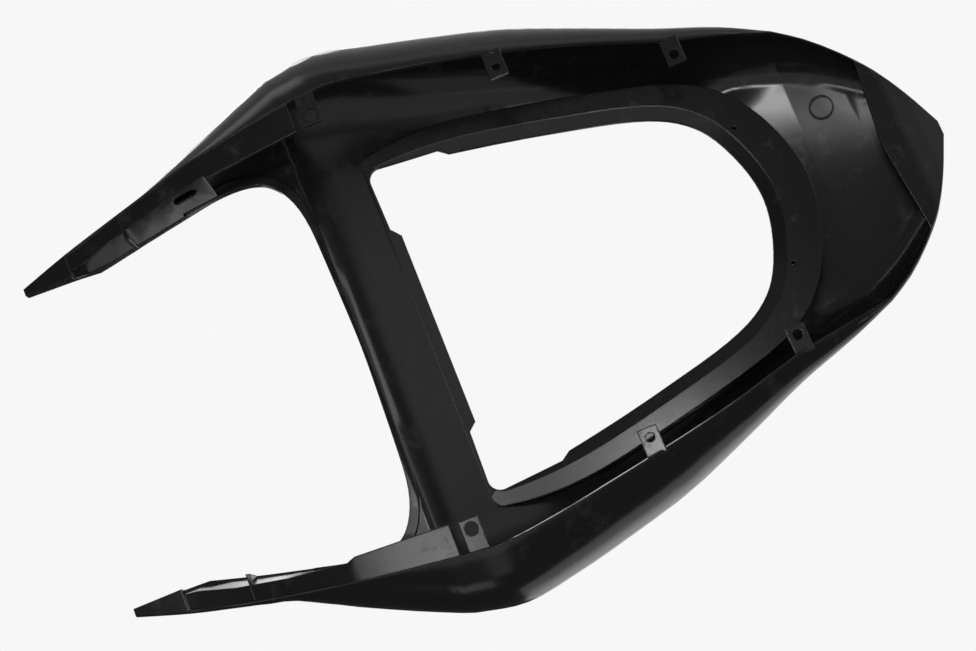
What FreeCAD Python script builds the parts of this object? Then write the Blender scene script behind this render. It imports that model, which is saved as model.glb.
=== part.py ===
import FreeCAD, Part
import math
import os

# Motorcycle tail fairing: one thin moulding that covers the rear frame behind the rider's seat.
# Frame: +X points forward, +Y to the rider's left, +Z up. The origin is midway between the two front
# tabs, on their lower faces. Millimetres.
doc = FreeCAD.newDocument("tail_fairing")
Vector = FreeCAD.Vector

# Driving sizes
sheet = doc.addObject("Spreadsheet::Sheet", "sizes")
SIZES = [
    ("wall", "3.0"),
    ("prong_reach", "230.0"),
    ("tail_reach", "413.0"),
    ("half_width", "206.5"),
    ("ring_height", "84.0"),
    ("crown_rise", "31.0"),
    ("deck_camber", "6.0"),
    ("opening_length", "249.5"),
    ("opening_half_width", "125.5"),
    ("opening_setback", "25.5"),
    ("opening_corner", "9.0"),
    ("lip_width", "9.5"),
    ("lip_rise", "4.0"),
    ("lip_notch", "5.0"),
    ("band_side", "13.0"),
    ("band_rear", "26.0"),
    ("bridge_reach", "28.0"),
    ("bead_depth", "3.0"),
    ("flange_width", "21.0"),
    ("prong_flange_width", "12.5"),
    ("pad_wall", "2.5"),
    ("tab_lift", "0.8"),
    ("tab_length", "13.5"),
    ("tab_reach", "20.0"),
    ("front_tab_reach", "23.0"),
    ("tab_edge", "7.0"),
    ("front_hole", "9.0"),
    ("front_hole_offset", "152.0"),
    ("mid_tab_station", "130.5"),
    ("mid_hole", "6.0"),
    ("mid_hole_offset", "138.5"),
    ("rear_tab_station", "250.5"),
    ("rear_hole", "7.0"),
    ("rear_hole_offset", "108.0"),
    ("slot_station", "103.0"),
    ("slot_length", "18.0"),
    ("slot_width", "10.0"),
    ("slot_rise", "15.0"),
    ("rib_station", "148.0"),
    ("rib_thick", "3.0"),
    ("band_hole", "3.2"),
    ("band_boss", "7.6"),
    ("band_boss_height", "6.0"),
    ("band_hole_station", "275.0"),
    ("band_hole_offset", "53.7"),
    ("beak_length", "47.0"),
    ("mark_diameter", "17.5"),
    ("mark_width", "1.0"),
    ("mark_height", "0.6"),
]
for number, (name, value) in enumerate(SIZES, 1):
    sheet.set("A%d" % number, name)
    sheet.set("B%d" % number, value)
    sheet.setAlias("B%d" % number, name)
doc.recompute()


def size(name):
    """A driving size, read from the sheet."""
    return float(sheet.get(name))


wall = size("wall")
wide = size("half_width") / 206.5

# Cross-sections of the hood from the prong tips back to the fold ahead of the tail, and from the fold to
# the tail's point: station x, widest point (y, z), lower rim (y, z), edge of the flat crown (y, z).
BODY = [
    (230, 120.8, 27.0, 120.0, 23.5, 109.0, 31.0),
    (195, 132.2, 25.5, 131.4, 21.5, 109.5, 34.5),
    (160, 141.5, 23.0, 140.5, 18.0, 115.0, 43.0),
    (125, 151.1, 22.0, 148.1, 12.3, 124.0, 48.5),
    (90, 168.8, 33.5, 154.8, 5.7, 131.0, 53.5),
    (55, 185.5, 37.0, 160.2, 2.0, 133.0, 61.0),
    (30, 196.6, 38.0, 163.6, -0.2, 134.0, 62.5),
    (26, 198.2, 38.2, 164.2, -0.5, 134.1, 63.5),
    (19.5, 200.6, 38.6, 165.0, -0.8, 134.3, 71.5),
    (-15, 206.5, 45.0, 168.0, -0.4, 136.0, 86.0),
    (-55, 199.9, 54.0, 163.5, 5.0, 137.5, 100.0),
    (-95, 190.6, 58.0, 156.6, 8.5, 135.5, 107.0),
    (-145, 177.0, 60.0, 147.0, 15.5, 128.0, 112.5),
    (-195, 157.5, 59.0, 135.3, 27.5, 115.0, 114.5),
    (-245, 136.5, 57.5, 120.4, 38.5, 98.0, 115.0),
    (-290, 121.0, 62.0, 111.3, 52.0, 86.0, 113.5),
    (-325, 106.5, 71.0, 104.5, 67.0, 77.0, 111.0),
]
TAIL = [
    (-325, 106.5, 71.0, 104.5, 67.0, 77.0, 111.0),
    (-345, 94.5, 77.5, 92.5, 73.5, 66.0, 109.0),
    (-365, 78.0, 84.0, 76.0, 80.0, 52.0, 106.5),
    (-385, 57.0, 91.0, 55.0, 87.0, 33.0, 104.0),
    (-400, 33.0, 95.0, 31.5, 91.5, 14.0, 102.0),
    (-413, 6.0, 98.0, 5.4, 95.0, 1.5, 100.5),
]


def along(x):
    """A station drawn at the nominal length, at the length asked for."""
    bridge_x = size("bridge_reach")
    if x > 28.0:
        return bridge_x + (x - 28.0) * (size("prong_reach") - bridge_x) / 202.0
    return x * bridge_x / 28.0 if x > 0.0 else x * size("tail_reach") / 413.0


def up(z):
    """A height drawn at the nominal depth, at the depth asked for."""
    ring = size("ring_height")
    return z * ring / 84.0 if z < 84.0 else ring + (z - 84.0) * size("crown_rise") / 31.0


def fitted(row):
    """A cross-section row at the sizes asked for."""
    return (along(row[0]), row[1] * wide, up(row[2]), row[3] * wide, up(row[4]), row[5] * wide, up(row[6]))


def reading(rows, x):
    """The cross-section row at station x, on smooth curves through the rows given."""
    count = len(rows)
    for n in range(count - 1):
        fore = rows[n]
        aft = rows[n + 1]
        if fore[0] >= x >= aft[0]:
            break
    before = rows[max(n - 1, 0)]
    after = rows[min(n + 2, count - 1)]
    run = aft[0] - fore[0]
    t = (x - fore[0]) / run
    row = [x]
    for column in range(1, 7):
        start_slope = (aft[column] - before[column]) / (aft[0] - before[0]) * run
        end_slope = (after[column] - fore[column]) / (after[0] - fore[0]) * run
        value = fore[column] * (1.0 - t) ** 2 * (1.0 + 2.0 * t) + aft[column] * t * t * (3.0 - 2.0 * t)
        value += start_slope * t * (1.0 - t) ** 2 - end_slope * t * t * (1.0 - t)
        row.append(value)
    return tuple(row)


def stations(rows, pitch):
    """The rows given, with more stations between them wherever two lie further apart than the pitch, which
    is halved round the widest part."""
    filled = []
    for fore, aft in zip(rows[:-1], rows[1:]):
        step = pitch / 2.0 if abs(fore[0] + aft[0]) < 80.0 else pitch
        parts = math.ceil((fore[0] - aft[0]) / step)
        for part in range(parts):
            filled.append(reading(rows, fore[0] + (aft[0] - fore[0]) * part / parts))
    return filled + [rows[-1]]


body_rows = stations([fitted(row) for row in BODY], 40.5)
tail_rows = stations([fitted(row) for row in TAIL], 20.5)
hood_rows = body_rows + tail_rows[1:]


def between(x, column):
    """A column of the cross-sections read at station x."""
    return reading(body_rows, x)[column] if x > body_rows[-1][0] else reading(tail_rows, x)[column]


CURL = math.radians(70.0)


def curl(row, turn, inset):
    """A point on the way from the widest point (turn 0) in to the rim (turn CURL), and the direction up the wall
    there. An inset moves the point inwards, square to the wall."""
    x, wide_y, wide_z, rim_y, rim_z = row[:5]
    y = wide_y - (wide_y - rim_y) * (1.0 - math.cos(turn)) / (1.0 - math.cos(CURL))
    z = wide_z - (wide_z - rim_z) * math.sin(turn) / math.sin(CURL)
    rise = Vector(0, (wide_y - rim_y) * math.sin(turn) / (1.0 - math.cos(CURL)),
                  (wide_z - rim_z) * math.cos(turn) / math.sin(CURL))
    rise.normalize()
    return Vector(x, y - inset * rise.z, z + inset * rise.y), rise


def flank(row, inset):
    """Left side of a cross-section: a quarter ellipse from the crown to the widest point, then a curl in to
    the rim. An inset shortens the ellipse's half axes and moves the curl inwards."""
    x, wide_y, wide_z, rim_y, rim_z, crown_y, crown_z = row
    points = []
    for step in range(7):
        turn = math.radians(15.0 * step)
        y = crown_y + (wide_y - crown_y - inset) * math.sin(turn)
        z = wide_z + (crown_z - wide_z - inset) * math.cos(turn)
        points.append(Vector(x, y, z))
    return points + [curl(row, CURL * step / 4.0, inset)[0] for step in range(1, 5)]


def mirrored(points):
    """The same points on the right side, in reverse order."""
    return [Vector(p.x, -p.y, p.z) for p in reversed(points)]


def crown(row, inset):
    """Left half of the crown from the middle out to its edge. It is flat beside the openings and rises to a
    camber in the middle of the tail deck, less so where the deck is narrow."""
    x, crown_y, crown_z = row[0], row[5], row[6] - inset
    share = min(max((along(-195.0) - x) / 95.0, 0.0), 1.0)
    rise = size("deck_camber") * share * share * (3.0 - 2.0 * share) * min(crown_y / (77.0 * wide), 1.0)
    return [Vector(x, 0, crown_z + rise), Vector(x, crown_y * 0.5, crown_z + rise * 0.75)]


def section(row, inset, depth):
    """Closed cross-section of the hood. With a depth it runs on straight down past the rim."""
    left = crown(row, inset) + flank(row, inset)
    if depth > 0.0:
        left.append(Vector(left[-1].x, left[-1].y, left[-1].z - depth))
    points = left + mirrored(left[1:])
    return Part.makePolygon(points + points[:1])


def channel(row):
    """Closed cross-section of the hood's wall alone: down the outside of one flank and back up its inside."""
    outer = crown(row, 0.0) + flank(row, 0.0)
    inner = crown(row, wall) + flank(row, wall)
    points = list(reversed(outer)) + list(reversed(mirrored(outer[1:])))
    points += list(mirrored(inner[1:])) + list(inner)
    return Part.makePolygon(points + points[:1])


def feature(name, shape):
    """A document object that holds a shape drawn in this file."""
    thing = doc.addObject("Part::Feature", name)
    thing.Shape = shape
    return thing


def loft(name, wires, ruled):
    """A solid through a row of closed wires."""
    thing = doc.addObject("Part::Loft", name)
    thing.Sections = [feature("%s_section_%d" % (name, n), wire) for n, wire in enumerate(wires)]
    thing.Solid = True
    thing.Ruled = ruled
    return thing


def cut(name, base, tool):
    """One object less another."""
    thing = doc.addObject("Part::Cut", name)
    thing.Base = base
    thing.Tool = tool
    return thing


def common(name, first, second):
    """What two objects share."""
    thing = doc.addObject("Part::MultiCommon", name)
    thing.Shapes = [first, second]
    return thing


def fuse(name, things):
    """Several objects as one."""
    thing = doc.addObject("Part::MultiFuse", name)
    thing.Shapes = things
    return thing


def prism(name, wire, height):
    """A closed flat wire drawn out along +Z."""
    thing = doc.addObject("Part::Extrusion", name)
    thing.Base = feature(name + "_outline", wire)
    thing.DirMode = "Custom"
    thing.Dir = Vector(0, 0, 1)
    thing.LengthFwd = height
    thing.Solid = True
    return thing


def box(name, length, width, height, x, y, z):
    """A block whose sizes and low corner are expressions on the sheet."""
    thing = doc.addObject("Part::Box", name)
    thing.setExpression("Length", length)
    thing.setExpression("Width", width)
    thing.setExpression("Height", height)
    thing.setExpression("Placement.Base.x", x)
    thing.setExpression("Placement.Base.y", y)
    thing.setExpression("Placement.Base.z", z)
    return thing


def hole(name, diameter, x, y, low, depth):
    """An upright cylinder whose diameter and place are expressions on the sheet."""
    thing = doc.addObject("Part::Cylinder", name)
    thing.setExpression("Radius", "sizes.%s / 2" % diameter)
    thing.Height = depth
    thing.setExpression("Placement.Base.x", x)
    thing.setExpression("Placement.Base.y", y)
    thing.Placement.Base.z = low
    return thing


# Hood: the wall carried through the cross-sections, between solid prong tips and a solid tail point. The
# full outer form and a form half a wall smaller trim what is added inside.
tip_rows = [row for row in body_rows if row[0] >= along(195) - 0.01]
wall_rows = hood_rows[len(tip_rows) - 1:-1]
hood_wall = loft("hood_wall", [channel(row) for row in wall_rows], True)
prong_tips = loft("prong_tips", [section(row, 0.0, 0.0) for row in tip_rows], True)
tail_point = loft("tail_point", [section(row, 0.0, 0.0) for row in hood_rows[-2:]], True)
body_form = loft("body_form", [section(row, 0.0, 0.0) for row in body_rows], True)
tail_form = loft("tail_form", [section(row, 0.0, 0.0) for row in tail_rows], True)
body_core = loft("body_core", [section(row, wall / 2.0, 20.0) for row in body_rows[len(tip_rows) - 1:]], True)

# Seat ring: the edge of the passenger opening drawn on the left side, from behind the side notch to the
# rear, and the same curve moved outwards by the lip and by the lip and band together.
EDGE = [
    (-95, 114.2),
    (-135, 106.4),
    (-175, 97.3),
    (-215, 86.5),
    (-237, 76.5),
    (-255, 60.4),
    (-266, 40.0),
    (-272.5, 20.0),
    (-275, 0.0),
]
ring_z = size("ring_height")
edge_front = -size("opening_setback")
edge_rear = edge_front - size("opening_length")
long_share = size("opening_length") / 249.5
wide_share = size("opening_half_width") / 125.5
edge_points = [Vector(edge_front + (x + 25.5) * long_share, y * wide_share, 0) for x, y in EDGE]


def outward(points, side, rear):
    """Points of the left half of the ring moved outwards: by one distance at the side, another at the rear."""
    moved = []
    for n, point in enumerate(points):
        before = points[max(n - 1, 0)]
        after = points[n + 1] if n + 1 < len(points) else Vector(before.x, -before.y, 0)
        run = after.sub(before)
        normal = Vector(run.y, -run.x, 0)
        normal.normalize()
        distance = side + (rear - side) * abs(normal.x) ** 1.5
        moved.append(Vector(point.x - abs(normal.x) * distance, point.y + abs(normal.y) * distance, 0))
    return moved


def ring_wire(front_x, corner_y, radius, points, z):
    """Closed outline of a seat-ring curve: straight front, two round corners, one smooth run round the rear."""
    lift = Vector(0, 0, z)
    front = Vector(front_x, corner_y - radius, z)
    side = Vector(front_x - radius, corner_y, z)
    middle = Vector(front_x - radius * 0.2929, corner_y - radius * 0.2929, z)
    left = [side] + [p.add(lift) for p in points]
    run = left + mirrored(left[:-1])
    curve = Part.BSplineCurve()
    curve.interpolate(run)
    edges = [Part.makeLine(Vector(front.x, -front.y, z), front)]
    edges.append(Part.Arc(front, middle, side).toShape())
    edges.append(curve.toShape())
    far = [Vector(p.x, -p.y, z) for p in (side, middle, front)]
    edges.append(Part.Arc(far[0], far[1], far[2]).toShape())
    return Part.Wire(edges)


lip = size("lip_width")
band_side = size("band_side")
ridge_points = outward(edge_points, lip, lip)
band_points = outward(edge_points, lip + band_side, lip + size("band_rear"))
pocket_points = outward(edge_points, lip + band_side - wall, lip + size("band_rear") - wall)
middle_points = outward(edge_points, lip + band_side - wall / 2.0, lip + size("band_rear") - wall / 2.0)
half_open = size("opening_half_width")
band_front = edge_front + 10.5
band_half = half_open + 11.5
tall = size("crown_rise") + 40.0
ridge_wire = ring_wire(edge_front + 4.5, half_open + 1.5, 8.0, ridge_points, ring_z)

recess = prism("recess", ring_wire(band_front, band_half, 10.0, band_points, ring_z), tall)
pocket = prism("pocket", ring_wire(band_front - wall, band_half - wall, 7.0, pocket_points, ring_z + wall), tall)
tub_block = cut("tub_block", recess, pocket)
tub = common("tub", tub_block, body_core)
ridge_slab = prism("ridge_slab", ridge_wire, wall)
ring_band = cut("ring_band", tub, ridge_slab)

# Lip: a sloping rim round the opening, higher at its edge than where it leaves the band. It is drawn a
# little past its edge, where the opening trims it.
lip_rise = size("lip_rise")
spare = 3.0
peak = ring_z + lip_rise * (lip + spare) / lip
peak_points = outward(edge_points, -spare, -spare)
peak_y = half_open - lip + 2.0 - spare
raised_ridge = ring_wire(edge_front + 4.5, half_open + 1.5, 8.0, ridge_points, ring_z + wall)
edge_low = ring_wire(edge_front - 1.5, peak_y, 6.0, peak_points, peak)
edge_high = ring_wire(edge_front - 1.5, peak_y, 6.0, peak_points, peak + wall)
lip_core = loft("lip_core", [ridge_wire, edge_low], True)
lip_cap = loft("lip_cap", [raised_ridge, edge_high], True)
lip_block = fuse("lip_block", [lip_cap, ridge_slab])
ring_lip = cut("ring_lip", lip_block, lip_core)

# Gap for the rider's seat, between the prongs: its edge on the left side, and the line of the bead behind it.
front_edge = size("bridge_reach")
GAP = [
    (28.5, 0.0),
    (29.5, 40.0),
    (31.0, 80.0),
    (34.5, 109.0),
    (38.5, 120.0),
    (44.0, 129.0),
    (52.0, 136.0),
    (63.0, 139.0),
    (76.0, 139.0),
    (105.0, 133.4),
    (145.0, 123.8),
    (178.0, 115.0),
]
BEAD = [
    (25.0, 0.0),
    (25.5, 45.0),
    (26.5, 80.0),
    (29.0, 112.0),
    (33.0, 124.0),
    (41.0, 136.0),
    (52.0, 143.0),
    (64.0, 146.0),
    (78.0, 146.0),
    (95.0, 141.5),
    (112.0, 131.0),
]
gap_points = [Vector(along(x), y * wide, 0) for x, y in GAP]
tip_y = gap_points[-1].y
gap_curve = Part.BSplineCurve()
gap_curve.interpolate(mirrored(gap_points[1:]) + gap_points)
gap_end = size("prong_reach") + 20.0
gap_edges = [gap_curve.toShape()]
gap_edges.append(Part.makeLine(gap_points[-1], Vector(gap_end, tip_y, 0)))
gap_edges.append(Part.makeLine(Vector(gap_end, tip_y, 0), Vector(gap_end, -tip_y, 0)))
gap_edges.append(Part.makeLine(Vector(gap_end, -tip_y, 0), Vector(gap_points[-1].x, -tip_y, 0)))
seat_gap = prism("seat_gap", Part.Wire(gap_edges), ring_z + tall)


def lowered(name, thing, distance):
    """A copy of an object's shape moved down."""
    shape = thing.Shape.copy()
    shape.translate(Vector(0, 0, -distance))
    return feature(name, shape)


doc.recompute()
bead_points = [Vector(along(x), y * wide, 0) for x, y in BEAD]
bead_curve = Part.BSplineCurve()
bead_curve.interpolate(mirrored(bead_points[1:]) + bead_points)
bead_end = bead_points[-1]
bead_edges = [bead_curve.toShape(), Part.makeLine(bead_end, Vector(bead_end.x, -bead_end.y, 0))]
bead_block = prism("bead_block", Part.Wire(bead_edges), ring_z + tall)
bead_top = lowered("bead_top", body_form, wall / 2.0)
bead_under = lowered("bead_under", body_form, wall + size("bead_depth"))
bead_layer = common("bead_layer", bead_block, bead_top)
bead = cut("bead", bead_layer, bead_under)

# Flanges: an inward strip along each lower rim, wide beside the front tabs and narrow along the prongs, and
# behind it a closing wall that climbs from the strip to the edge of the seat gap.
# Each row of a flange: station, width, rise of the inner edge over the rim.
broad = size("flange_width")
narrow = size("prong_flange_width")
FLANGE = [
    (13, broad + 1.0, 0.6),
    (30, broad, 0.5),
    (55, broad - 2.0, 0.4),
    (78, broad - 4.0, 0.3),
    (84, narrow + 1.5, 0.2),
    (125, narrow, 0.0),
    (160, narrow, 0.0),
    (185, narrow + 1.5, 0.0),
    (202, narrow - 1.0, 0.0),
]


def flange_reach(x):
    """Width of the flange at a station, by straight lines between its rows."""
    for first, second in zip(FLANGE[:-1], FLANGE[1:]):
        start = along(first[0])
        end = along(second[0])
        if start <= x <= end:
            return first[1] + (second[1] - first[1]) * (x - start) / (end - start)
    return narrow


def gap_y(x):
    """Half width of the seat gap at a station on the prongs, by straight lines between its points."""
    for first, second in zip(gap_points[8:-1], gap_points[9:]):
        if first.x <= x <= second.x:
            return first.y + (second.y - first.y) * (x - first.x) / (second.x - first.x)
    return tip_y


def strip(x, side, corners):
    """A closed four-cornered cross-section at a station, on the left (side 1) or the right (side -1)."""
    points = [Vector(x, side * y, z) for y, z in corners]
    return Part.makePolygon(points + points[:1])


def wall_root(x):
    """Where a flange leaves the rim at a station: the middle of the wall, a little way up from its edge."""
    row = reading(body_rows, x)
    point, rise = curl(row, CURL, wall / 2.0)
    return point.add(rise * (wall / 2.0))


def flange_corners(x, width, rise):
    """Corners of a flange's cross-section, its outer edge in the middle of the wall."""
    root = wall_root(x)
    half = wall * 0.4
    inner_y = between(x, 3) - width
    return [(root.y, root.z - half), (inner_y, root.z + rise - half), (inner_y, root.z + rise + half),
            (root.y, root.z + half)]


def pad_corners(x):
    """Corners of the closing wall's cross-section, from the flange's inner edge up into the roof."""
    low_y = between(x, 3) - flange_reach(x) + 1.0
    low_z = wall_root(x).z + 0.3
    high_y = gap_y(x) + 0.7
    high_z = between(x, 6) - wall / 2.0
    thick = size("pad_wall")
    return [(low_y, low_z), (high_y, high_z), (high_y + thick, high_z), (low_y + thick, low_z)]


flanges = []
PADS = [84, 105, 125, 145, 165, 185, 202]
for side, name in ((1, "left"), (-1, "right")):
    rows = [(along(x), width, rise) for x, width, rise in FLANGE]
    flanges.append(loft(name + "_flange", [strip(x, side, flange_corners(x, w, r)) for x, w, r in rows], True))
    flanges.append(loft(name + "_pad", [strip(along(x), side, pad_corners(along(x))) for x in PADS], True))

# Six tabs on the rims, each with a hole and its outer end in the wall.
tabs = []
holes = []
TABS = [
    ("front", "0", 0.0, "front_tab_reach"),
    ("mid", "-sizes.mid_tab_station", between(-size("mid_tab_station"), 4) + size("tab_lift"), "tab_reach"),
    ("rear", "-sizes.rear_tab_station", between(-size("rear_tab_station"), 4) + size("tab_lift"), "tab_reach"),
]
for name, station, low, span in TABS:
    inner = "(sizes.%s_hole_offset - sizes.tab_edge)" % name
    for side, label in ((1, "left"), (-1, "right")):
        start = inner if side > 0 else "-%s - sizes.%s" % (inner, span)
        title = "%s_%s" % (name, label)
        plate = box(title + "_tab", "sizes.tab_length", "sizes." + span, "sizes.wall",
                    station + " - sizes.tab_length / 2", start, "%f" % low)
        tabs.append(plate)
        centre = "%d * sizes.%s_hole_offset" % (side, name)
        holes.append(hole(title + "_hole", name + "_hole", station, centre, low - 2.0, wall + 4.0))

# Prong details: a cross rib and a clip slot beside each flange.


def stadium(x, z, length, width):
    """Closed upright outline of a slot with round ends, lying along X."""
    half = Vector((length - width) / 2.0, 0, 0)
    up = Vector(0, 0, width / 2.0)
    end = Vector(width / 2.0, 0, 0)
    middle = Vector(x, 0, z)
    front = middle + half
    back = middle - half
    edges = [Part.makeLine(back - up, front - up)]
    edges.append(Part.Arc(front - up, front + end, front + up).toShape())
    edges.append(Part.makeLine(front + up, back + up))
    edges.append(Part.Arc(back + up, back - end, back - up).toShape())
    return Part.Wire(edges)


ribs = []
rib_x = along(size("rib_station"))
rib_rim = between(rib_x, 3)
slot_x = along(size("slot_station"))
slot_z = between(slot_x, 4) + size("slot_rise")
slot_y = gap_y(slot_x) - 4.0
bosses = []
for side, label in ((1, "left"), (-1, "right")):
    block = doc.addObject("Part::Box", label + "_rib_block")
    block.setExpression("Length", "sizes.rib_thick")
    block.Width = 34.0
    block.Height = 40.0
    block.Placement.Base = Vector(rib_x, rib_rim - 32.0 if side > 0 else -rib_rim - 2.0, between(rib_x, 4) + 1.0)
    ribs.append(common(label + "_rib", block, body_core))
    outline = stadium(slot_x, slot_z, size("slot_length"), size("slot_width"))
    outline.translate(Vector(0, side * slot_y, 0))
    holes.append(feature(label + "_slot", Part.Face(outline).extrude(Vector(0, side * 15.0, 0))))
    rear_x = "-sizes.band_hole_station"
    rear_y = "%d * sizes.band_hole_offset" % side
    top = ring_z + wall
    bosses.append(hole(label + "_band_boss", "band_boss", rear_x, rear_y, top - 1.0, size("band_boss_height") + 1.0))
    holes.append(hole(label + "_band_hole", "band_hole", rear_x, rear_y, ring_z - 4.0,
                      wall + size("band_boss_height") + 2.0))

# Beak: a floor that closes the underside of the tail's point behind a shallow V.
beak_front = -size("tail_reach") + size("beak_length")
beak_corner = beak_front - 7.0
far_back = -size("tail_reach") - 20.0
half_tail = 140.0 * wide
beak_plan = [
    (beak_front, 0.0),
    (beak_corner, 62.0 * wide),
    (beak_corner, half_tail),
    (far_back, half_tail),
    (far_back, -half_tail),
    (beak_corner, -half_tail),
    (beak_corner, -62.0 * wide),
    (beak_front, 0.0),
]
beak_block = prism("beak_block", Part.makePolygon([Vector(x, y, 0) for x, y in beak_plan]), ring_z + tall)
beak_form = common("beak_form", tail_form, beak_block)
beak_void = lowered("beak_void", tail_form, -wall)
beak = cut("beak", beak_form, beak_void)

# Plain ring mark moulded on the underside of the tail deck.
mark_x = along(-344.0)
mark_y = 50.0 * wide
deck_slope = (between(mark_x + 5.0, 6) - between(mark_x - 5.0, 6)) / 10.0
mark_row = reading(tail_rows, mark_x)
deck_edge = mark_row[6] - wall
deck_fall = (crown(mark_row, wall)[1].z - deck_edge) / (mark_row[5] / 2.0)
mark_z = deck_edge + deck_fall * (mark_row[5] - mark_y) - size("mark_height")
mark_disc = doc.addObject("Part::Cylinder", "mark_disc")
mark_disc.setExpression("Radius", "sizes.mark_diameter / 2")
mark_disc.setExpression("Height", "sizes.mark_height + 1")
mark_core = doc.addObject("Part::Cylinder", "mark_core")
mark_core.setExpression("Radius", "sizes.mark_diameter / 2 - sizes.mark_width")
mark_core.setExpression("Height", "sizes.mark_height + 1")
turn = FreeCAD.Rotation(Vector(0, 0, 1), Vector(-deck_slope, deck_fall, 1.0))
for thing in (mark_disc, mark_core):
    thing.Placement = FreeCAD.Placement(Vector(mark_x, mark_y, mark_z), turn)
mark = cut("mark", mark_disc, mark_core)

# The whole moulding: the hood opened for the ring, everything added, then the openings and holes.
middle_wire = ring_wire(band_front - wall / 2.0, band_half - wall / 2.0, 8.5, middle_points, ring_z - 12.0)
recess_cut = prism("recess_cut", middle_wire, tall + 12.0)
hood_open = cut("hood_open", hood_wall, recess_cut)
pieces = [hood_open, prong_tips, tail_point, ring_band, ring_lip, bead, beak, mark]
solid = fuse("solid", pieces + flanges + tabs + ribs + bosses)

notch_front = edge_front + 7.0
step_y = 73.0 * wide_share
radius = size("opening_corner")
notch_y = half_open - 3.5
edge_step = edge_front - 53.5 * long_share
turn_in = notch_front - radius * 0.2929
turn_out = half_open - radius * 0.2929
left_edge = [Vector(edge_step, notch_y - size("lip_notch"), 0)] + edge_points
edge_curve = Part.BSplineCurve()
edge_curve.interpolate(left_edge + mirrored(left_edge[:-1]))
corners = [
    Vector(edge_front, step_y, 0),
    Vector(edge_front + 6.0, step_y + 6.0, 0),
    Vector(notch_front, half_open - radius, 0),
    Vector(turn_in, turn_out, 0),
    Vector(notch_front - radius, half_open, 0),
    Vector(edge_step + 7.0, notch_y, 0),
    left_edge[0],
]
edges = [Part.makeLine(Vector(edge_front, -step_y, 0), corners[0])]
edges.append(Part.makeLine(corners[0], corners[1]))
edges.append(Part.makeLine(corners[1], corners[2]))
edges.append(Part.Arc(corners[2], corners[3], corners[4]).toShape())
edges.append(Part.makeLine(corners[4], corners[5]))
edges.append(Part.makeLine(corners[5], corners[6]))
edges.append(edge_curve.toShape())
back = [Vector(p.x, -p.y, 0) for p in reversed(corners)]
edges.append(Part.makeLine(back[0], back[1]))
edges.append(Part.makeLine(back[1], back[2]))
edges.append(Part.Arc(back[2], back[3], back[4]).toShape())
edges.append(Part.makeLine(back[4], back[5]))
edges.append(Part.makeLine(back[5], back[6]))
opening = prism("opening", Part.Wire(edges), ring_z + tall)
voids = fuse("voids", [seat_gap, opening] + holes)
fairing = cut("fairing", solid, voids)
fairing.Label = "tail_fairing"
doc.recompute()

for thing in doc.Objects:
    if "Invalid" in thing.State or "Error" in thing.State:
        raise RuntimeError("%s did not build: %s" % (thing.Name, thing.State))
shape = fairing.Shape
if shape.isNull() or not shape.isValid() or len(shape.Solids) != 1:
    raise RuntimeError("the fairing is not one valid solid: %d" % len(shape.Solids))
print("volume", round(shape.Volume), "box", shape.optimalBoundingBox())
os.makedirs("parts", exist_ok=True)
shape.exportStep("parts/%s.step" % fairing.Label)
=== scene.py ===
import math
import bpy
import bmesh
import numpy as np
from mathutils import Matrix, Vector


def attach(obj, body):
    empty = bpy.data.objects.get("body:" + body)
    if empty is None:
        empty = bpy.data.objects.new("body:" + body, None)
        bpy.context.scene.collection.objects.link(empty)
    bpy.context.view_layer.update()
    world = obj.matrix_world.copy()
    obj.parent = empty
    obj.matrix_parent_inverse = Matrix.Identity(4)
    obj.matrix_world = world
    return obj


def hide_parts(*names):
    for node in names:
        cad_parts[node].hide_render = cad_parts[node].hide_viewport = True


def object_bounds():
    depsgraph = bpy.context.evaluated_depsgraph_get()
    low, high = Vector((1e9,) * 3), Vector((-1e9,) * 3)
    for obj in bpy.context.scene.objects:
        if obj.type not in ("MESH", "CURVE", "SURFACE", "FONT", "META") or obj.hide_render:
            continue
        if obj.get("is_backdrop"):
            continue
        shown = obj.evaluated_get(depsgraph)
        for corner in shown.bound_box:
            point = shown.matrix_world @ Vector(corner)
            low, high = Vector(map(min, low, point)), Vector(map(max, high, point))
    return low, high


# A motorcycle's tail fairing, seen from below: the moulded shell as the solids give it, in the light of a
# plain studio. All is in metres, in the part's own frame, apart from what a comment gives in millimetres.
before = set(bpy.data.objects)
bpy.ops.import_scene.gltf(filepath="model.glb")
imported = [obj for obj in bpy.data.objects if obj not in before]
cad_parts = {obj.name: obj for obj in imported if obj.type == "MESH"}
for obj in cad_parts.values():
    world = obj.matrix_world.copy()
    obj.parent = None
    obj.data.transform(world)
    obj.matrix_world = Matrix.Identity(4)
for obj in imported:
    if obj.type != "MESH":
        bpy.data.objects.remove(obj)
scene = bpy.context.scene
scene.view_settings.view_transform = "Standard"
low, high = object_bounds()

# Shell: the fairing itself, one thin moulding of black plastic with two openings, bolted on by its tabs. It
# is the solid's own mesh. Where a face lies on the curved wall, its shading directions come from the wall's
# formula, so that the flat facets read as one smooth surface.
MM_PER_METRE = 1000.0

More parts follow.
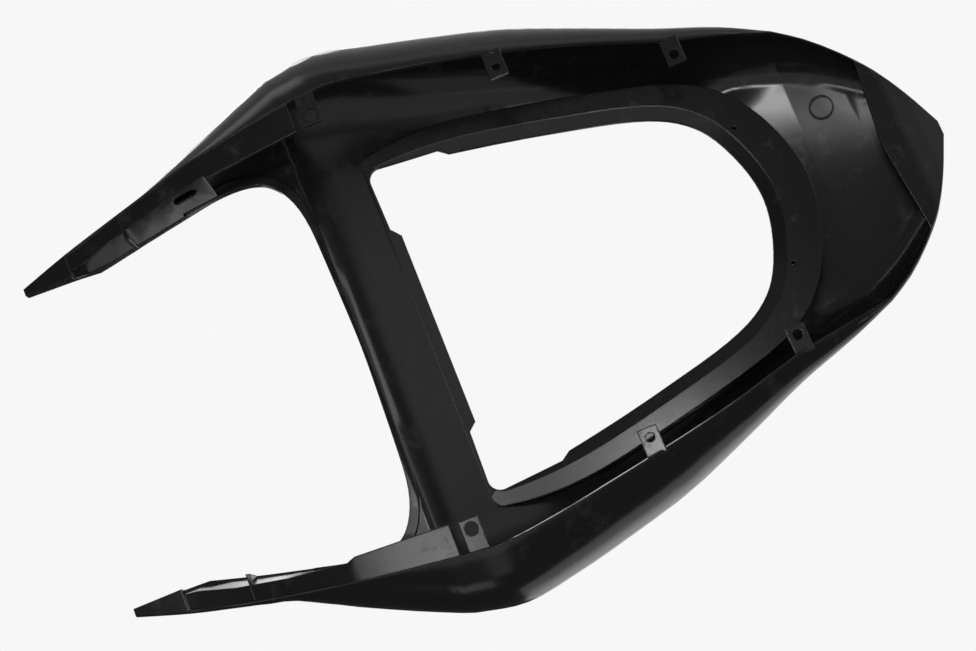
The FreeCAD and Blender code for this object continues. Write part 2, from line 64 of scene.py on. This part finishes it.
# The wall, in millimetres. Rows: station, widest point (y, z), lower rim (y, z), edge of the crown (y, z).
WALL = 3.0
BODY = np.array([
    (230, 120.8, 27.0, 120.0, 23.5, 109.0, 31.0),
    (195, 132.2, 25.5, 131.4, 21.5, 109.5, 34.5),
    (160, 141.5, 23.0, 140.5, 18.0, 115.0, 43.0),
    (125, 151.1, 22.0, 148.1, 12.3, 124.0, 48.5),
    (90, 168.8, 33.5, 154.8, 5.7, 131.0, 53.5),
    (55, 185.5, 37.0, 160.2, 2.0, 133.0, 61.0),
    (30, 196.6, 38.0, 163.6, -0.2, 134.0, 62.5),
    (26, 198.2, 38.2, 164.2, -0.5, 134.1, 63.5),
    (19.5, 200.6, 38.6, 165.0, -0.8, 134.3, 71.5),
    (-15, 206.5, 45.0, 168.0, -0.4, 136.0, 86.0),
    (-55, 199.9, 54.0, 163.5, 5.0, 137.5, 100.0),
    (-95, 190.6, 58.0, 156.6, 8.5, 135.5, 107.0),
    (-145, 177.0, 60.0, 147.0, 15.5, 128.0, 112.5),
    (-195, 157.5, 59.0, 135.3, 27.5, 115.0, 114.5),
    (-245, 136.5, 57.5, 120.4, 38.5, 98.0, 115.0),
    (-290, 121.0, 62.0, 111.3, 52.0, 86.0, 113.5),
    (-325, 106.5, 71.0, 104.5, 67.0, 77.0, 111.0),
])
TAIL = np.array([
    tuple(BODY[-1]),
    (-345, 94.5, 77.5, 92.5, 73.5, 66.0, 109.0),
    (-365, 78.0, 84.0, 76.0, 80.0, 52.0, 106.5),
    (-385, 57.0, 91.0, 55.0, 87.0, 33.0, 104.0),
    (-400, 33.0, 95.0, 31.5, 91.5, 14.0, 102.0),
    (-413, 6.0, 98.0, 5.4, 95.0, 1.5, 100.5),
])
JOIN = BODY[-1, 0]
RIM_CURL = math.radians(70)

# The deck's bulge, in millimetres: where it begins, where it is full, and its height at the join's width.
BULGE_START = -195.0
BULGE_FULL = -290.0
BULGE_HEIGHT = 6.0
JOIN_CROWN = BODY[-1, 5]


def reading(rows, x):
    """Columns of the rows at stations x. Between two stations runs a cubic, whose slope at each end is that
    of the chord between the stations on both sides of that end."""
    n = np.clip(np.searchsorted(-rows[:, 0], -x, side="right") - 1, 0, len(rows) - 2)
    fore = rows[n]
    aft = rows[n + 1]
    before = rows[np.maximum(n - 1, 0)]
    after = rows[np.minimum(n + 2, len(rows) - 1)]
    run = (aft - fore)[:, :1]
    t = (x[:, None] - fore[:, :1]) / run
    start = (aft - before) / (aft - before)[:, :1] * run
    end = (after - fore) / (after - fore)[:, :1] * run
    value = fore * (1 - t) ** 2 * (1 + 2 * t) + aft * t * t * (3 - 2 * t)
    return (value + start * t * (1 - t) ** 2 - end * t * t * (1 - t)).T


def wall_point(columns, x, turn, inset):
    """A point of the wall's left side. Turn runs from 0 at the crown's edge to 1 at the widest point on a
    quarter ellipse, and on to 2 at the rim along a curl. An inset shortens the ellipse's half axes and moves
    the curl inwards, square to the wall."""
    _, wide_y, wide_z, rim_y, rim_z, crown_y, crown_z = columns
    arc = np.clip(turn, 0, 1) * np.pi / 2
    y = crown_y + (wide_y - crown_y) * np.sin(arc)
    z = wide_z + (crown_z - wide_z - inset) * np.cos(arc)
    curl = np.clip(turn - 1, 0, 1) * RIM_CURL
    y = y - (wide_y - rim_y) * (1 - np.cos(curl)) / (1 - math.cos(RIM_CURL))
    z = z - (wide_z - rim_z) * np.sin(curl) / math.sin(RIM_CURL)
    rise_y = (wide_y - rim_y) * np.sin(curl) / (1 - math.cos(RIM_CURL))
    rise_z = (wide_z - rim_z) * np.cos(curl) / math.sin(RIM_CURL)
    length = np.hypot(rise_y, rise_z)
    y = y - inset * np.sin(arc) * rise_z / length
    z = z + inset * rise_y / length
    return np.stack([x, y, z], 1)


def deck_height(rows, x, y, inset):
    """Height of the deck between the crown's edges. It bulges in the middle, as a parabola across the part.
    The bulge grows smoothly between two stations, and it is lower where the tail is narrow."""
    columns = reading(rows, x)
    crown_y = columns[5]
    share = np.clip((BULGE_START - x) / (BULGE_START - BULGE_FULL), 0, 1)
    rise = BULGE_HEIGHT * share * share * (3 - 2 * share) * np.minimum(crown_y / JOIN_CROWN, 1)
    return columns[6] - inset + rise * (1 - (y / crown_y) ** 2)


def unit(vectors):
    """The same directions at length 1. A vector without length stays so."""
    tiny = 1e-12
    return vectors / (np.linalg.norm(vectors, axis=1)[:, None] + tiny)


# Passes of the search for the nearest turn, each with its number of steps to either side.
SEARCH_STEPS = (20, 5, 5)


def nearest_turn(columns, x, y, z, inset):
    """The turn at which the wall is nearest to (y, z) in the cross-section at x, and the distance there.
    Each pass tries evenly spaced turns round the best one of the pass before, in finer steps."""
    turn = np.ones(len(x))
    reach = 1.0
    for steps in SEARCH_STEPS:
        gap = np.full(len(x), np.inf)
        centre = turn
        for step in np.linspace(-reach, reach, 2 * steps + 1):
            trial = np.clip(centre + step, 0, 2)
            here = wall_point(columns, x, trial, inset)
            distance = np.hypot(here[:, 1] - y, here[:, 2] - z)
            turn = np.where(distance < gap, trial, turn)
            gap = np.minimum(distance, gap)
        reach = reach / steps
    return turn, gap


# Short steps in which the wall's slopes are taken, in millimetres and in turns.
SLOPE_STEP = 0.6
TURN_STEP = 0.01


def wall_direction(rows, x, y, turn, inset, deck):
    """The direction out of the hood at each place: square to a short step along the part and to one across
    it, both on the deck where deck is true, and else on the curved wall."""
    ahead = np.clip(x + SLOPE_STEP, rows[-1, 0], rows[0, 0])
    behind = np.clip(x - SLOPE_STEP, rows[-1, 0], rows[0, 0])
    along = wall_point(reading(rows, ahead), ahead, turn, inset)
    along = along - wall_point(reading(rows, behind), behind, turn, inset)
    columns = reading(rows, x)
    across = wall_point(columns, x, np.clip(turn + TURN_STEP, 0, 2), inset)
    across = across - wall_point(columns, x, np.clip(turn - TURN_STEP, 0, 2), inset)
    climb = deck_height(rows, ahead, y, inset) - deck_height(rows, behind, y, inset)
    fall = deck_height(rows, x, y + SLOPE_STEP, inset) - deck_height(rows, x, y - SLOPE_STEP, inset)
    deck_along = np.stack([np.ones(len(x)), 0 * x, climb / (ahead - behind)], 1)
    deck_across = np.stack([0 * x, np.ones(len(x)), fall / (2 * SLOPE_STEP)], 1)
    along = np.where(deck[:, None], deck_along, along)
    across = np.where(deck[:, None], deck_across, across)
    return unit(np.cross(along, across))


# A point within this height of the deck, in millimetres, lies on it. Only a share of the height counts as
# its distance, because the solid's facets lie farther off the bulged deck than off the wall.
DECK_MATCH = 3.0
DECK_SHARE = 0.6


def settle(rows, points, inset):
    """The place of the wall nearest to each point in the cross-section at its station, the wall's direction
    there, out of the material, the distance between the two, and whether it lies on the deck."""
    side = np.where(points[:, 1] < 0, -1.0, 1.0)
    x = points[:, 0]
    y = np.abs(points[:, 1])
    z = points[:, 2]
    columns = reading(rows, x)
    turn, gap = nearest_turn(columns, x, y, z, inset)
    top = deck_height(rows, x, y, inset)
    rise = np.abs(top - z)
    deck = (y < columns[5]) & (rise < DECK_MATCH)
    distance = np.where(deck, rise * DECK_SHARE, gap)
    place = wall_point(columns, x, turn, inset)
    place[:, 1] = np.where(deck, y, place[:, 1]) * side
    place[:, 2] = np.where(deck, top, place[:, 2])
    out = wall_direction(rows, x, y, turn, inset, deck)
    out[:, 1] *= side
    return place, out if inset == 0 else -out, distance, deck


# The four walls, by their rows and inset. A face lies on one if its points are nearer than this, in
# millimetres, and if the cosine of the angle between the two is above the least one.
WALLS = ((BODY, 0.0), (BODY, WALL), (TAIL, 0.0), (TAIL, WALL))
OUTER_MATCH = 1.4
INNER_MATCH = 1.15
FACE_COSINE = 0.9


def owned(rows, x):
    """Whether stations x are of these rows: the body's reach to the join, the tail's begin behind it."""
    return x >= JOIN if rows is BODY else x < JOIN


def face_cross(points, faces):
    """Each triangle's direction, as a vector with twice its area for a length."""
    corners = points[faces]
    return np.cross(corners[:, 1] - corners[:, 0], corners[:, 2] - corners[:, 0])


def survey(points, faces):
    """For each face the number of the wall that it lies on, or -1, and whether it is on a wall and clear of
    the deck. For each wall the direction at every point."""
    middle = points[faces].mean(1)
    flat = unit(face_cross(points, faces))
    kind = np.full(len(faces), -1)
    clear = np.zeros(len(faces), bool)
    directions = []
    for number, (rows, inset) in enumerate(WALLS):
        limit = OUTER_MATCH if inset == 0 else INNER_MATCH
        _, out, distance, deck = settle(rows, points, inset)
        _, out_middle, distance_middle, deck_middle = settle(rows, middle, inset)
        close = (distance[faces] < limit).all(1) & (distance_middle < limit)
        agrees = (out_middle * flat).sum(1) > FACE_COSINE
        good = owned(rows, middle[:, 0]) & close & agrees
        kind[good] = number
        clear[good] = ~(deck[faces].any(1) | deck_middle)[good]
        directions.append(out)
    return kind, clear, directions


def arrays(work):
    """Points in millimetres and triangles of a mesh under work."""
    work.verts.index_update()
    work.faces.index_update()
    points = np.array([vertex.co for vertex in work.verts]) * MM_PER_METRE
    faces = np.array([[vertex.index for vertex in face.verts] for face in work.faces])
    return points, faces


# The solid's loose triangles are joined at corners that are nearer than this, in metres.
SAME_CORNER = 0.00001
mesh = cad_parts["tail_fairing"].data.copy()
work = bmesh.new()
work.from_mesh(mesh)
bmesh.ops.remove_doubles(work, verts=work.verts, dist=SAME_CORNER)
bmesh.ops.triangulate(work, faces=work.faces)

# Long edges of the wall are halved, twice over. A new point settles on the curved wall if that is near
# enough, in millimetres, and it stays inside the solid's box.
HALVINGS = 2
LONG_EDGE = 0.014
SETTLE_MATCH = 1.2
for halving in range(HALVINGS):
    _, clear, _ = survey(*arrays(work))
    long_edges = []
    for edge in work.edges:
        if edge.calc_length() > LONG_EDGE and any(clear[face.index] for face in edge.link_faces):
            long_edges.append(edge)
    cut = bmesh.ops.subdivide_edges(work, edges=long_edges, cuts=1)
    fresh = [item for item in cut["geom_inner"] if isinstance(item, bmesh.types.BMVert)]
    points = np.array([vertex.co for vertex in fresh]) * MM_PER_METRE
    settled = points.copy()
    nearest = np.full(len(points), SETTLE_MATCH)
    for rows, inset in WALLS:
        place, _, distance, deck = settle(rows, points, inset)
        closer = owned(rows, points[:, 0]) & (distance < nearest) & ~deck
        settled[closer] = place[closer]
        nearest[closer] = distance[closer]
    for vertex, spot in zip(fresh, settled / MM_PER_METRE):
        vertex.co = np.clip(spot, low, high)
    bmesh.ops.triangulate(work, faces=work.faces)
work.normal_update()
points, faces = arrays(work)
work.to_mesh(mesh)
work.free()

# Cosines of the angles under which faces share their shading, and under which a corner takes the wall's.
SOFT_COSINE = math.cos(math.radians(20))
CORNER_COSINE = 0.85


def corner_directions(points, faces):
    """Shading direction at every corner of every face. On a wall it is that of the wall's formula. Elsewhere
    it is the mean, by area, of the faces that meet there at a small angle, with the own face twice."""
    kind, _, directions = survey(points, faces)
    kind = np.repeat(kind, 3)
    corner = faces.reshape(-1)
    weighted = np.repeat(face_cross(points, faces), 3, axis=0)
    flat = unit(weighted)
    order = np.argsort(corner, kind="stable")
    uses = np.bincount(corner, minlength=len(points))
    first = np.cumsum(uses) - uses
    total = weighted.copy()
    for n in range(uses.max()):
        other = order[np.minimum(first[corner] + n, len(order) - 1)]
        soft = (n < uses[corner]) & ((flat * flat[other]).sum(1) > SOFT_COSINE)
        total += np.where(soft[:, None], weighted[other], 0)
    shading = unit(total)
    for number, out in enumerate(directions):
        good = (kind == number) & ((out[corner] * flat).sum(1) > CORNER_COSINE)
        shading[good] = out[corner][good]
    return shading


def shade_smooth(mesh):
    """Let every face of a mesh take its shading from its corners."""
    mesh.polygons.foreach_set("use_smooth", [True] * len(mesh.polygons))


def add_object(name, data):
    """A new object in the scene, at the origin."""
    added = bpy.data.objects.new(name, data)
    scene.collection.objects.link(added)
    return added


shade_smooth(mesh)
mesh.normals_split_custom_set(corner_directions(points, faces).tolist())
shell = add_object("shell", mesh)
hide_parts("tail_fairing")
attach(shell, "root")

# Plastic of the shell: dyed black, semi-gloss, with slow changes of gloss, a fine moulded grain and rounded
# edges. Handling has left small dull scuffs, which are a little paler than the clean gloss.
GLOSS_LEVEL = 0.35
ROUGHNESS_RANGE = (0.13, 0.21)
SCUFF_RANGE = (0.56, 0.74)
SCUFF_ROUGHNESS = 0.16
CLEAN_BLACK = (0.010, 0.010, 0.0104, 1.0)
SCUFFED_BLACK = (0.024, 0.024, 0.024, 1.0)
GRAIN_STRENGTH = 0.05
GRAIN_DEPTH = 0.0002
EDGE_RADIUS = 0.0013


def noise_field(tree, coords, scale, detail, roughness):
    """Socket with a noise of a given scale, fineness and contrast on the piece's Object coordinates."""
    field = tree.nodes.new("ShaderNodeTexNoise")
    field.inputs["Scale"].default_value = scale
    field.inputs["Detail"].default_value = detail
    field.inputs["Roughness"].default_value = roughness
    tree.links.new(coords.outputs["Object"], field.inputs["Vector"])
    return field.outputs["Fac"]


plastic = bpy.data.materials.new("black_plastic")
plastic.use_nodes = True
tree = plastic.node_tree
shader = tree.nodes["Principled BSDF"]
shader.inputs["Specular IOR Level"].default_value = GLOSS_LEVEL
coords = tree.nodes.new("ShaderNodeTexCoord")
clouds = noise_field(tree, coords, scale=14.0, detail=3.0, roughness=0.5)
patches = noise_field(tree, coords, scale=48.0, detail=8.0, roughness=0.72)
grain = noise_field(tree, coords, scale=900.0, detail=2.0, roughness=0.5)

gloss = tree.nodes.new("ShaderNodeMapRange")
gloss.inputs["To Min"].default_value = ROUGHNESS_RANGE[0]
gloss.inputs["To Max"].default_value = ROUGHNESS_RANGE[1]
tree.links.new(clouds, gloss.inputs["Value"])
scuff = tree.nodes.new("ShaderNodeMapRange")
scuff.inputs["From Min"].default_value = SCUFF_RANGE[0]
scuff.inputs["From Max"].default_value = SCUFF_RANGE[1]
tree.links.new(patches, scuff.inputs["Value"])
dull = tree.nodes.new("ShaderNodeMath")
dull.operation = "MULTIPLY_ADD"
dull.inputs[1].default_value = SCUFF_ROUGHNESS
tree.links.new(scuff.outputs["Result"], dull.inputs[0])
tree.links.new(gloss.outputs["Result"], dull.inputs[2])
tree.links.new(dull.outputs[0], shader.inputs["Roughness"])

dye = tree.nodes.new("ShaderNodeMix")
dye.data_type = "RGBA"
dye.inputs["A"].default_value = CLEAN_BLACK
dye.inputs["B"].default_value = SCUFFED_BLACK
tree.links.new(scuff.outputs["Result"], dye.inputs["Factor"])
tree.links.new(dye.outputs["Result"], shader.inputs["Base Color"])

rounding = tree.nodes.new("ShaderNodeBevel")
rounding.samples = 6
rounding.inputs["Radius"].default_value = EDGE_RADIUS
bump = tree.nodes.new("ShaderNodeBump")
bump.inputs["Strength"].default_value = GRAIN_STRENGTH
bump.inputs["Distance"].default_value = GRAIN_DEPTH
tree.links.new(grain, bump.inputs["Height"])
tree.links.new(rounding.outputs["Normal"], bump.inputs["Normal"])
tree.links.new(bump.outputs["Normal"], shader.inputs["Normal"])
mesh.materials.clear()
mesh.materials.append(plastic)

# Ring mark: a plain ring that the mould leaves on the underside of the tail deck, in the same plastic. It is
# a low round bead through a full turn, with both feet sunk into the deck. Sizes in millimetres.
RING_CENTRE = (-344.0, 50.0)
RING_STEPS = 96

# The bead's profile: distance from the ring's centre and drop below the deck.
RING_BEAD = np.array([(8.95, -0.3), (8.85, 0.6), (8.25, 0.75), (7.65, 0.6), (7.55, -0.3)])


def ring_surface():
    """Points and faces of the ring: the bead's profile carried round the centre at even angles, each point
    hung from the deck's inner side by its drop."""
    angle = np.tile(np.linspace(0, 2 * np.pi, RING_STEPS, endpoint=False), len(RING_BEAD))
    radius, drop = np.repeat(RING_BEAD, RING_STEPS, axis=0).T
    x = RING_CENTRE[0] + radius * np.cos(angle)
    y = RING_CENTRE[1] + radius * np.sin(angle)
    z = deck_height(TAIL, x, y, WALL) - drop
    here = np.arange(len(x)).reshape(len(RING_BEAD), RING_STEPS)
    after = np.roll(here, -1, axis=1)
    faces = np.stack([here[:-1], here[1:], after[1:], after[:-1]], 2).reshape(-1, 4)
    return np.stack([x, y, z], 1) / MM_PER_METRE, faces


ring_points, ring_faces = ring_surface()
ring_mesh = bpy.data.meshes.new("ring_mark")
ring_mesh.from_pydata(ring_points.tolist(), [], ring_faces.tolist())
shade_smooth(ring_mesh)
ring_mesh.materials.append(plastic)
ring = add_object("ring_mark", ring_mesh)
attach(ring, "root")

# Camera: below the part and a little to its right, as in the photograph. It looks up and, by the tilt, to
# the part's left. The prongs point to the left of the picture, and the roll turns them down a little.
CAMERA_PLACE = (-0.0590, -0.2807, -1.1641)
CAMERA_TILT = math.radians(12.096)
CAMERA_ROLL = math.radians(-21.91)
camera_data = bpy.data.cameras.new("camera")
camera_data.sensor_width = 36.0
camera_data.sensor_fit = "HORIZONTAL"
camera_data.lens = 66.39
camera_data.clip_end = 60.0
camera = add_object("camera", camera_data)
back = Vector((0.0, -math.sin(CAMERA_TILT), -math.cos(CAMERA_TILT)))
right = Matrix.Rotation(CAMERA_ROLL, 3, back) @ Vector((-1.0, 0.0, 0.0))
up = back.cross(right)
axes = Matrix((right, up, back)).transposed().to_4x4()
camera.matrix_world = Matrix.Translation(CAMERA_PLACE) @ axes
scene.camera = camera

# Studio: a pale surround for what the camera and reflections see, and an even fill for the rest. It is the
# world's own light, a mix of two plain greys.
BACKDROP_TONE = 0.93
FILL_TONE = 0.5


def grey(tone):
    """A neutral colour."""
    return (tone, tone, tone, 1.0)


def seen_rays(tree):
    """Socket that is 1 on the camera's rays, on reflections and on what is seen through glass, else 0."""
    rays = tree.nodes.new("ShaderNodeLightPath")
    found = rays.outputs["Is Camera Ray"]
    for name in ("Is Glossy Ray", "Is Transmission Ray"):
        either = tree.nodes.new("ShaderNodeMath")
        either.operation = "MAXIMUM"
        tree.links.new(found, either.inputs[0])
        tree.links.new(rays.outputs[name], either.inputs[1])
        found = either.outputs[0]
    return found


def lead_mix(tree, share, first, second, output):
    """Lead a mix of two shaders to the output: the second by the share, the first by the rest."""
    mix = tree.nodes.new("ShaderNodeMixShader")
    tree.links.new(share, mix.inputs[0])
    tree.links.new(first.outputs[0], mix.inputs[1])
    tree.links.new(second.outputs[0], mix.inputs[2])
    tree.links.new(mix.outputs[0], tree.nodes[output].inputs["Surface"])


world = bpy.data.worlds.new("studio")
scene.world = world
world.use_nodes = True
tree = world.node_tree
backdrop = tree.nodes["Background"]
backdrop.inputs["Color"].default_value = grey(BACKDROP_TONE)
fill = tree.nodes.new("ShaderNodeBackground")
fill.inputs["Color"].default_value = grey(FILL_TONE)
lead_mix(tree, seen_rays(tree), fill, backdrop, "World Output")

# Floor: plain, pale and painted, far below, so that the view from underneath is free. To the camera and in
# reflections a share of it glows like the surround, so that it doesn't turn grey in views from above.
FLOOR_REACH = 40.0
FLOOR_HEIGHT = -2.7
FLOOR_TONE = 0.8
FLOOR_ROUGHNESS = 0.9
FLOOR_GLOW = 0.6


def sheet_mesh(name, sheets):
    """Mesh of flat sheets. Each lies between two values of x and runs from a first to a last (y, z)."""
    corners = []
    for left, right, first, last in sheets:
        corners += [(left, *first), (right, *first), (right, *last), (left, *last)]
    made = bpy.data.meshes.new(name)
    made.from_pydata(corners, [], np.arange(len(corners)).reshape(-1, 4).tolist())
    return made


floor_mesh = sheet_mesh("floor", [
    (-FLOOR_REACH, FLOOR_REACH, (-FLOOR_REACH, FLOOR_HEIGHT), (FLOOR_REACH, FLOOR_HEIGHT)),
])
floor = add_object("floor", floor_mesh)
floor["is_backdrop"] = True
pale = bpy.data.materials.new("pale_floor")
pale.use_nodes = True
tree = pale.node_tree
paint = tree.nodes["Principled BSDF"]
paint.inputs["Base Color"].default_value = grey(FLOOR_TONE)
paint.inputs["Roughness"].default_value = FLOOR_ROUGHNESS
glow = tree.nodes.new("ShaderNodeEmission")
glow.inputs["Color"].default_value = grey(BACKDROP_TONE)
glow_share = tree.nodes.new("ShaderNodeMath")
glow_share.operation = "MULTIPLY"
glow_share.inputs[1].default_value = FLOOR_GLOW
tree.links.new(seen_rays(tree), glow_share.inputs[0])
lead_mix(tree, glow_share.outputs[0], paint, glow, "Material Output")
floor_mesh.materials.append(pale)

# Cards: a wide grey sheet over the floor, a white one on the left, dimmer than the surround, and dark ones
# beside, above and below the part, all of dull felt. Only reflections see them, so that the undersides and
# the flanks stay deep black. Rows: lowest and highest x, first and last (y, z).
GREY_TONE = 0.4
GREY_SHEETS = (
    (-9.0, 9.0, (-6.0, -2.5), (9.0, -2.5)),
)
WHITE_TONE = 0.9
WHITE_SHEETS = (
    (-3.5, 3.5, (4.0, -0.4), (4.0, 5.5)),
)
DARK_TONE = 0.06
DARK_SHEETS = (
    (-5.0, 4.0, (-2.0, -2.6), (-2.8, 0.7)),
    (-0.15, 4.0, (-2.8, 0.7), (-2.8, 3.2)),
    (0.0, 4.0, (-2.8, 3.2), (-0.3, 3.2)),
    (-0.2, 1.0, (0.0, 2.6), (1.6, 2.6)),
    (-1.45, -0.75, (0.3, -2.45), (1.3, -2.45)),
    (-4.6, -3.4, (0.2, -2.45), (1.6, -2.45)),
    (0.3, 1.0, (0.6, -2.45), (1.6, -2.45)),
    (1.0, 2.6, (-0.1, -2.45), (1.6, -2.45)),
)
for name, sheets, tone in (
    ("grey_card", GREY_SHEETS, GREY_TONE),
    ("white_card", WHITE_SHEETS, WHITE_TONE),
    ("dark_card", DARK_SHEETS, DARK_TONE),
):
    card_mesh = sheet_mesh(name, sheets)
    card = add_object(name, card_mesh)
    card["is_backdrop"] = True
    card.visible_camera = False
    card.visible_diffuse = False
    card.visible_shadow = False
    felt = bpy.data.materials.new(name)
    felt.use_nodes = True
    surface = felt.node_tree.nodes["Principled BSDF"]
    surface.inputs["Base Color"].default_value = grey(tone)
    surface.inputs["Roughness"].default_value = 1.0
    card_mesh.materials.append(felt)

# Lamps: soft panels at one height below the part, which shine up and which the flat undersides mirror, and
# panels round the part that are aimed at it, for its upper side, flanks and inner walls. The camera doesn't
# see the lamps.
PANEL_HEIGHT = -2.4
SHINE_UP = (math.pi, 0.0, 0.0)

# Rows: name, place (x, y), width, depth, watts.
LOW_PANELS = (
    ("front_panel", (0.46, 0.18), 0.68, 0.24, 4.6),
    ("tab_panel", (0.19, 0.03), 0.1, 0.1, 0.6),
    ("rear_panel", (-0.1, 0.2), 0.28, 0.12, 0.42),
    ("tail_panel", (-0.31, 0.08), 0.16, 0.14, 3.2),
    ("bridge_panel", (-2.5, 0.65), 1.6, 1.0, 2.5),
    ("low_panel", (-0.7, -1.1), 3.9, 1.6, 7.6),
)

# Rows: name, place, target, width, depth, watts.
AIMED_PANELS = (
    ("left_panel", (0.6, 1.2, 2.0), (-0.1, 0.0, 0.0), 1.6, 1.2, 11.5),
    ("right_panel", (-0.8, -1.7, 1.9), (-0.15, 0.1, 0.05), 1.4, 1.0, 2.3),
    ("side_panel", (-0.02, -1.9, -1.5), (-0.1, 0.15, 0.1), 0.6, 1.5, 1.4),
    ("upper_side_panel", (0.5, -1.9, -0.4), (-0.17, 0.15, 0.1), 0.5, 0.4, 0.7),
    ("back_panel", (-3.2, 0.9, -0.35), (0.0, 0.0, 0.05), 1.6, 1.0, 9.0),
    ("far_panel", (0.9, 3.0, -0.65), (0.0, 0.1, 0.05), 1.4, 0.9, 5.0),
)


def add_panel(name, place, turn, width, depth, watts):
    """A rectangular lamp of a given size and power, at a place and with a turn."""
    data = bpy.data.lights.new(name, "AREA")
    data.shape = "RECTANGLE"
    data.size = width
    data.size_y = depth
    data.energy = watts
    lamp = add_object(name, data)
    lamp.location = place
    lamp.rotation_euler = turn
    lamp.visible_camera = False


for name, spot, width, depth, watts in LOW_PANELS:
    add_panel(name, (*spot, PANEL_HEIGHT), SHINE_UP, width, depth, watts)
for name, place, target, width, depth, watts in AIMED_PANELS:
    turn = (Vector(target) - Vector(place)).to_track_quat("-Z", "Y").to_euler()
    add_panel(name, place, turn, width, depth, watts)

# Size: the box of all that is shown, apart from the floor and the cards.
low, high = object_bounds()
